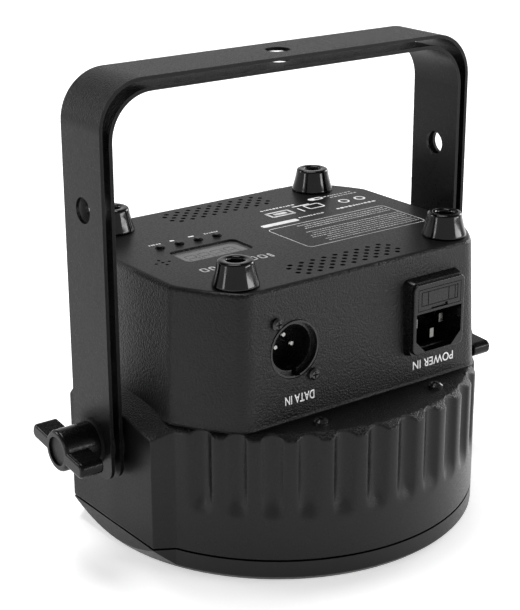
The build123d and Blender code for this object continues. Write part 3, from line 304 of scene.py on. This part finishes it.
# ------------------------------------------------------------------ mesh helpers
def make_object(name, verts, faces, material, body, smooth_angle, replaces=()):
    """A new piece from points in mm, riding on its body; an angle of 0 keeps it flat-shaded."""
    mesh = bpy.data.meshes.new(name)
    mesh.from_pydata([tuple(c * MM for c in v) for v in verts], [], faces)
    bm = bmesh.new()
    bm.from_mesh(mesh)
    bmesh.ops.recalc_face_normals(bm, faces=bm.faces)
    bm.to_mesh(mesh)
    bm.free()
    mesh.materials.append(M[material])
    obj = bpy.data.objects.new(name, mesh)
    bpy.context.scene.collection.objects.link(obj)
    if smooth_angle:
        mesh.shade_smooth()
        mesh.set_sharp_from_angle(angle=math.radians(smooth_angle))
    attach(obj, body)
    if replaces:
        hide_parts(*replaces)
    return obj


def ring_faces(rows, columns):
    """Quads between neighbouring columns of points, where rows and columns both go right round."""
    faces = []
    for c in range(columns):
        n = (c + 1) % columns
        for r in range(rows):
            s = (r + 1) % rows
            faces.append((c * rows + r, n * rows + r, n * rows + s, c * rows + s))
    return faces


# ------------------------------------------------------------------ fluted front ring
def cone_z(radius):
    """Height of the sloped shoulder at a radius."""
    return SHOULDER_Z + SHOULDER_SLOPE * (SHOULDER_R - radius)


def outline_radius(angle):
    """Outer radius of the ring at an angle: the circle, or the boss where that is further out."""
    c, s = abs(math.cos(angle)), abs(math.sin(angle))
    flat = BOSS_X / max(c, 1e-6)
    nx, ny = CHEEK_Y - BOSS_HALF, BOSS_X - CHEEK_X
    cheek = (nx * BOSS_X + ny * BOSS_HALF) / max(nx * c + ny * s, 1e-6)
    end = CHEEK_Y / max(s, 1e-6)
    boss = min(flat, cheek, end)
    blend = 0.25 * math.exp(-abs(RING_R - boss) / 0.5)
    return max(RING_R, boss) + blend


def flute_depth(angle, z):
    """How far the ring's wall is pressed in by the nearest flute, with a rounded rim."""
    depth = 0.0
    floor_drop = FLUTE_R - FLUTE_DEPTH
    rim = FLUTE_R - FLUTE_RIM
    for middle in (-90.0, 90.0):
        off = (math.degrees(angle) - middle + 180.0) % 360.0 - 180.0
        k = max(-(FLUTES // 2), min(FLUTES // 2, round(off / FLUTE_PITCH)))
        across = math.radians(off - k * FLUTE_PITCH) * RING_R
        if abs(across) > FLUTE_REACH:
            continue
        below = BALL_STRETCH * max(0.0, FLUTE_BALL_Z - z)
        away = math.hypot(across, below)
        if away < rim:
            press = math.sqrt(FLUTE_R**2 - away**2) - floor_drop
        else:
            press = math.sqrt(FLUTE_R**2 - rim**2) - floor_drop - (away - rim) * FLUTE_RUNOUT
        rise = min(1.0, max(0.0, (z - FLUTE_BALL_Z + FLUTE_START) / FLUTE_RISE))
        fade = rise * rise * (3.0 - 2.0 * rise)
        depth = max(depth, FLUTE_SOFT * math.log1p(math.exp(press / FLUTE_SOFT)) * fade)
    return depth


def build_ring():
    """The front housing: fluted wall, rounded rim, cone up to the ledge, and the inside."""
    # rows are closest together where the flutes begin
    wall_z = [10.1] + [10.6 + 0.9 * i for i in range(3)] + [13.0 + 1.5 * i for i in range(8)]
    wall_z += [24.4 + 0.55 * i for i in range(16)] + [35.0, 40.0, 45.0, 50.0, 53.0]
    verts = []
    for i in range(RING_COLUMNS):
        a = 2 * math.pi * i / RING_COLUMNS
        c, s = math.cos(a), math.sin(a)
        outer = outline_radius(a)
        profile = [(RING_INNER, RING_BOTTOM), (outer - 0.7, RING_BOTTOM)]
        profile.append((outer - 0.2, RING_BOTTOM + 0.2))
        for z in wall_z:
            profile.append((outer - flute_depth(a, z), z))
        wall = outer - flute_depth(a, WALL_TOP)
        profile += [(wall - inset, cone_z(wall) + rise) for inset, rise in RIM_POINTS]
        profile.append((wall - RIM_WIDTH, cone_z(wall - RIM_WIDTH)))
        meet = SHOULDER_R + (SHOULDER_Z - LEDGE_Z) / SHOULDER_SLOPE
        half_y = math.sqrt(meet**2 - SHOULDER_R**2)
        lip = min(meet, wall - 1.0)
        profile.append((lip + 0.25, cone_z(lip + 0.25) - 0.04))
        if abs(s) * meet < half_y:
            inner = SHOULDER_R / abs(c) - 0.5
            profile.append((min(lip, inner + 0.6), cone_z(min(lip, inner + 0.6))))
            profile.append((inner, cone_z(inner)))
            profile.append((inner - 0.4, LEDGE_Z))
        else:
            profile.append((lip - 0.35, LEDGE_Z))
            profile.append((lip - 1.5, LEDGE_Z))
            profile.append((lip - 3.0, LEDGE_Z))
        # the ledge, its large hole and the underside
        profile += [(DECK_HOLE, LEDGE_Z), (DECK_HOLE, DECK_BOTTOM), (RING_INNER, DECK_BOTTOM)]
        verts += [(r * c, r * s, z) for r, z in profile]
    faces = ring_faces(len(verts) // RING_COLUMNS, RING_COLUMNS)
    ring = make_object("fluted_ring", verts, faces, "ring_paint", "lamp_head",
                       50.0, ("front_housing",))
    # the flat faces of the two bosses get a less reflective copy of the ring paint, so that they look
    # darker: painted shade
    ring.data.materials.append(M["boss_shaded_paint"])
    for face in ring.data.polygons:
        if abs(face.normal.x) > 0.985 and abs(face.center.x) > (BOSS_X - 1.0) * MM:
            face.material_index = 1


build_ring()


def build_feet():
    """The four rubber feet, turned finely enough for their gloss to run smoothly round them."""
    profile = [
        (2.0, 0.0), (9.05, 0.0), (9.3, 0.3), (9.35, 0.8), (9.2, 1.3), (8.85, 2.4), (8.4, 4.0), (7.95, 5.8),
        (7.55, 7.6), (7.3, 8.9), (7.15, 9.5), (6.9, 9.95), (6.4, 10.2), (4.2, 10.2), (3.8, 9.9),
        (3.6, 9.3), (3.6, 3.6), (2.0, 3.6),
    ]
    verts, faces = [], []
    for x in (-FEET_X, FEET_X):
        for y in (-FEET_Y, FEET_Y):
            base = len(verts)
            for i in range(FOOT_COLUMNS):
                a = 2 * math.pi * i / FOOT_COLUMNS
                verts += [(x + r * math.cos(a), y + r * math.sin(a), PANEL_Z + z) for r, z in profile]
            faces += [tuple(base + v for v in f) for f in ring_faces(len(profile), FOOT_COLUMNS)]
    make_object("turned_feet", verts, faces, "rubber", "lamp_head", 60.0, ("rubber_feet",))


build_feet()


def build_foot_fillet():
    """A small fillet where the wall of the rear housing meets the ledge."""
    housing = NODES["rear_housing"]
    points = []
    for v in housing.data.vertices:
        place = housing.matrix_world @ v.co / MM
        if abs(place.z - LEDGE_Z) < 0.3 and math.hypot(place.x, place.y) > DECK_HOLE:
            points.append((place.x, place.y))
    outline = [points[i] for i in geometry.convex_hull_2d(points)]
    outline = [p for i, p in enumerate(outline) if math.dist(p, outline[i - 1]) > 0.05]
    verts = []
    n = len(outline)
    for i, (x, y) in enumerate(outline):
        before, after = Vector(outline[i - 1]), Vector(outline[(i + 1) % n])
        along = (after - before).normalized()
        out = Vector((along.y, -along.x))
        if out.dot(Vector((x, y))) < 0:
            out = -out
        for offset, rise in FILLET_POINTS:
            verts.append((x + out.x * offset, y + out.y * offset, LEDGE_Z + rise))
    make_object("wall_foot_fillet", verts, ring_faces(len(FILLET_POINTS), n), "housing_paint", "lamp_head",
                80.0)


build_foot_fillet()


# ------------------------------------------------------------------ flat printed marks
def prism(outline, z_low, z_high):
    """Vertices and faces of a flat outline given thickness."""
    n = len(outline)
    verts = [(x, y, z_low) for x, y in outline] + [(x, y, z_high) for x, y in outline]
    faces = [tuple(range(n))[::-1], tuple(range(n, 2 * n))]
    faces += [(i, (i + 1) % n, n + (i + 1) % n, n + i) for i in range(n)]
    return verts, faces


def rounded_outline(width, height, radius, steps=6):
    """Points round a rectangle with rounded corners."""
    points = []
    for cx, cy, start in ((1, 1, 0), (-1, 1, 90), (-1, -1, 180), (1, -1, 270)):
        for i in range(steps + 1):
            a = math.radians(start + 90 * i / steps)
            points.append((cx * (width / 2 - radius) + radius * math.cos(a),
                           cy * (height / 2 - radius) + radius * math.sin(a)))
    return points


class Marks:
    """Many small flat marks gathered into one mesh, each laid on a plane."""

    def __init__(self):
        self.verts, self.faces = [], []

    def add(self, verts, faces, place=Matrix.Identity(4)):
        base = len(self.verts)
        self.verts += [tuple(place @ Vector(v)) for v in verts]
        self.faces += [tuple(base + i for i in f) for f in faces]

    def bar(self, x, y, width, height, place):
        """A short flat bar with rounded ends."""
        outline = rounded_outline(width, height, min(width, height) * 0.3, 2)
        verts, faces = prism([(x + px, y + py) for px, py in outline], MARK_LOW, MARK_HIGH)
        self.add(verts, faces, place)

    def frame(self, x, y, width, height, radius, line, place):
        """A flat rounded frame of one line width."""
        outer = rounded_outline(width, height, radius)
        inner = rounded_outline(width - 2 * line, height - 2 * line, radius - line)
        n = len(outer)
        verts = []
        for z in (MARK_LOW, MARK_HIGH):
            for px, py in outer + inner:
                verts.append((x + px, y + py, z))
        faces = []
        for i in range(n):
            j = (i + 1) % n
            faces.append((2 * n + i, 2 * n + j, 3 * n + j, 3 * n + i))
            faces.append((i, j, 2 * n + j, 2 * n + i))
            faces.append((n + j, n + i, 3 * n + i, 3 * n + j))
            faces.append((j, i, n + i, n + j))
        self.add(verts, faces, place)

    def build(self, name, material):
        make_object(name, self.verts, self.faces, material, "lamp_head", 0)


PANEL = Matrix.Translation((0, 0, PANEL_Z))
rng = random.Random(7)


def text_line(marks, x_low, x_high, y, height, widths=(0.6, 1.8), gaps=(0.3, 0.7)):
    """A row of short bars that stands for small print and spells nothing."""
    x = x_low
    while x < x_high:
        width = rng.uniform(*widths)
        marks.bar(x + width / 2, y, width, height * rng.uniform(0.75, 1.0), PANEL)
        x += width + rng.uniform(*gaps)


marks = Marks()
marks.frame(30.3, -9.8, 64.6, 30.0, 2.6, 0.4, PANEL)
marks.bar(9.0, 10.1, 19.5, 3.4, PANEL)
marks.frame(37.5, 22.6, 9.0, 6.4, 1.2, 0.8, PANEL)
marks.frame(45.2, 31.2, 8.0, 3.4, 1.6, 0.9, PANEL)
marks.bar(43.2, 31.2, 2.6, 1.6, PANEL)
marks.frame(53.4, 20.8, 5.4, 5.4, 2.6, 0.9, PANEL)
marks.frame(62.2, 20.4, 5.4, 5.4, 2.6, 0.9, PANEL)
marks.bar(33.0, 26.6, 9.5, 0.9, PANEL)
marks.bar(29.0, 21.0, 0.8, 5.6, PANEL)
text_line(marks, 20.5, 34.0, 11.8, 1.2)
text_line(marks, 13.0, 31.5, 29.6, 1.3)
text_line(marks, 42.5, 63.5, 12.6, 1.6, (0.9, 2.2))
for x, y, width, radius, line in (
    (-29.4, -22.2, 3.6, 1.2, 0.75),
    (-24.8, -22.6, 3.4, 1.2, 0.75),
    (-21.0, -23.0, 1.5, 0.6, 0.6),
    (-53.6, -23.2, 3.2, 1.2, 0.75),
    (-49.5, -23.4, 2.9, 1.2, 0.75),
):
    marks.frame(x, y, width, 4.6, radius, line, PANEL)
marks.bar(-32.6, 17.2, 2.8, 1.3, PANEL)
marks.bar(-42.3, 17.0, 2.2, 1.3, PANEL)
marks.build("panel_print", "print")

small = Marks()
for row in range(11):
    if row == 3:
        continue
    ragged = 9.0 + rng.uniform(-4.0, 16.0) * (1.0 if row < 4 else 0.4)
    text_line(small, ragged, 60.5, 2.2 - 2.35 * row, 0.95, (0.5, 1.5), (0.25, 0.5))
text_line(small, 50.0, 66.0, 31.5, 1.0)
text_line(small, 52.0, 66.0, 28.9, 1.0)
text_line(small, 34.0, 44.5, 56.2, 1.2, (0.5, 1.2))
text_line(small, -26.2, -19.0, 16.8, 1.4, (0.5, 1.2))
text_line(small, -54.0, -48.4, 16.6, 1.4, (0.5, 1.2))
small.frame(18.0, 21.8, 13.0, 7.0, 0.8, 1.3, PANEL)
small.bar(18.0, 21.8, 7.0, 2.4, PANEL)
small.build("panel_small_print", "faint_print")

segments = Marks()
window = NODES["display_window"]
screen_top = max((window.matrix_world @ v.co).z for v in window.data.vertices) / MM
SCREEN = Matrix.Translation((0, 0, screen_top))
for cell in range(4):
    x = -49.0 + 6.4 * cell
    for y in (-1.6, -5.2, -8.8):
        segments.bar(x + 2.3, y, 3.9, 0.35, SCREEN)
    for side_x in (x, x + 4.6):
        for y in (-3.4, -7.0):
            segments.bar(side_x, y, 0.35, 2.9, SCREEN)
segments.build("display_segments", "segments")


def wall_plane(x, z, facing):
    """A plane on a socket face, with its X to the reader's right and its Y up when the light is hung."""
    share = (z - LEDGE_Z) / (PANEL_Z - LEDGE_Z)
    y = FACE_Y[0] + share * (FACE_Y[1] - FACE_Y[0])
    slope = math.atan2(FACE_Y[0] - FACE_Y[1], PANEL_Z - LEDGE_Z)
    out = Vector((0, facing * math.cos(slope), math.sin(slope)))
    up = Vector((0, facing * math.sin(slope), -math.cos(slope)))
    right = up.cross(out)
    rotation = Matrix((right, up, out)).transposed().to_4x4()
    return Matrix.Translation((x, facing * y, z)) @ rotation


def print_text(text, x, z, stretch, facing):
    """Generic socket lettering, upside down when the light stands on its lens."""
    curve = bpy.data.curves.new("letters", "FONT")
    curve.body = text
    curve.size = LETTER_HEIGHT * FONT_RATIO
    curve.space_character = 1.04
    curve.offset = 0.06
    curve.extrude = 0.03
    curve.align_x, curve.align_y = "CENTER", "CENTER"
    made = bpy.data.objects.new("letters", curve)
    bpy.context.scene.collection.objects.link(made)
    bpy.context.view_layer.update()
    flat = bpy.data.meshes.new_from_object(made.evaluated_get(bpy.context.evaluated_depsgraph_get()))
    place = wall_plane(x, z, facing)
    verts = [tuple(place @ Vector((v.co.x * stretch, v.co.y, v.co.z))) for v in flat.vertices]
    faces = [tuple(p.vertices) for p in flat.polygons]
    bpy.data.objects.remove(made)
    return verts, faces


letters = Marks()
for words, x, z, stretch, facing in (
    ("POWER IN", 37.0, 71.0, 0.92, -1),
    ("DATA IN", -33.6, 72.0, 0.71, -1),
    ("POWER OUT", 35.6, 71.0, 0.85, 1),
    ("DATA OUT", -35.6, 72.0, 0.78, 1),
):
    verts, faces = print_text(words, x, z, stretch, facing)
    letters.add(verts, faces)
letters.build("socket_print", "print")

# ------------------------------------------------------------------ camera
YAW, PITCH = 0.6462, 0.3454                         # radians; pitch is downwards
CAMERA_PLACE = (-0.38442, -0.50736, 0.31374)        # metres
SENSOR, LENS = 36.0, 92.70472                       # mm
SHIFT_X, SHIFT_Y = -0.0233443, 0.0061148            # shares of the longer side

camera_data = bpy.data.cameras.new("camera")
camera = bpy.data.objects.new("camera", camera_data)
bpy.context.scene.collection.objects.link(camera)
bpy.context.scene.camera = camera
look = Vector((math.sin(YAW) * math.cos(PITCH), math.cos(YAW) * math.cos(PITCH), -math.sin(PITCH)))
camera.rotation_mode = "QUATERNION"
camera.rotation_quaternion = look.to_track_quat("-Z", "Y")
camera.location = CAMERA_PLACE
camera_data.sensor_width = SENSOR
camera_data.lens = LENS
camera_data.shift_x, camera_data.shift_y = SHIFT_X, SHIFT_Y
camera_data.clip_start, camera_data.clip_end = 0.02, 50.0


# ------------------------------------------------------------------ light and floor
def area_light(name, place, target, size, power, size_y=None):
    """A square or rectangular light that points from its place at a target."""
    data = bpy.data.lights.new(name, "AREA")
    data.energy = power
    data.size = size
    if size_y:
        data.shape = "RECTANGLE"
        data.size_y = size_y
    obj = bpy.data.objects.new(name, data)
    bpy.context.scene.collection.objects.link(obj)
    obj.location = place
    obj.rotation_mode = "QUATERNION"
    obj.rotation_quaternion = (Vector(target) - Vector(place)).to_track_quat("-Z", "Y")


CENTRE = (0, 0, 0.09)
area_light("key_right", (1.5, 0.15, 0.5), CENTRE, 0.7, 10.0, 0.6)
area_light("front_right", (1.0, -1.15, 0.32), CENTRE, 1.0, 8.0, 0.22)
area_light("back_left", (-0.95, 1.2, 0.72), CENTRE, 0.35, 5.0, 0.35)
area_light("left_low", (-1.5, 0.1, 0.3), CENTRE, 0.22, 2.2, 0.4)
area_light("top", (0.1, 0.5, 1.6), CENTRE, 0.9, 20.0)

# a pale horizon that fades to a dark ceiling, and plain white where the camera sees it directly
world = bpy.data.worlds.new("studio")
bpy.context.scene.world = world
world.use_nodes = True
sky_tree = world.node_tree
background = sky_tree.nodes["Background"]
background.inputs["Color"].default_value = (1, 1, 1, 1)
split = sky_tree.nodes.new("ShaderNodeSeparateXYZ")
sky_tree.links.new(sky_tree.nodes.new("ShaderNodeTexCoord").outputs["Generated"], split.inputs["Vector"])
glow = node(sky_tree, "ShaderNodeMath", operation="MAXIMUM")
sky_tree.links.new(ramp(sky_tree, split.outputs["Z"], 0.75, 0.10, (0.3, 0.65)), glow.inputs[0])
light_path = sky_tree.nodes.new("ShaderNodeLightPath")
sky_tree.links.new(light_path.outputs["Is Camera Ray"], glow.inputs[1])
sky_tree.links.new(glow.outputs[0], background.inputs["Strength"])

FLOOR_HALF = 8       # metres from the middle to each side
FLOOR_Z = -0.0001    # a hair below the lowest face, so that the two don't share a plane
floor_mesh = bpy.data.meshes.new("floor")
floor_corners = [(x * FLOOR_HALF, y * FLOOR_HALF, FLOOR_Z) for x, y in ((-1, -1), (1, -1), (1, 1), (-1, 1))]
floor_mesh.from_pydata(floor_corners, [], [(0, 1, 2, 3)])
floor = bpy.data.objects.new("floor", floor_mesh)
bpy.context.scene.collection.objects.link(floor)
floor_mat, floor_tree, floor_shader = new_material("floor_paper")
floor_clouds = ramp(floor_tree, noise(floor_tree, 3.0), 0.0, 1.0)
floor_color = mix_color(floor_tree, floor_clouds, (0.93, 0.93, 0.93), (0.95, 0.95, 0.95))
floor_tree.links.new(floor_color, floor_shader.inputs["Base Color"])
floor_shader.inputs["Roughness"].default_value = 0.6
floor_shader.inputs["Emission Color"].default_value = (1, 1, 1, 1)
floor_shader.inputs["Emission Strength"].default_value = 0.5
floor_mesh.materials.append(floor_mat)

bpy.context.scene.view_settings.view_transform = "Standard"
bpy.context.scene.view_settings.exposure = 0.0
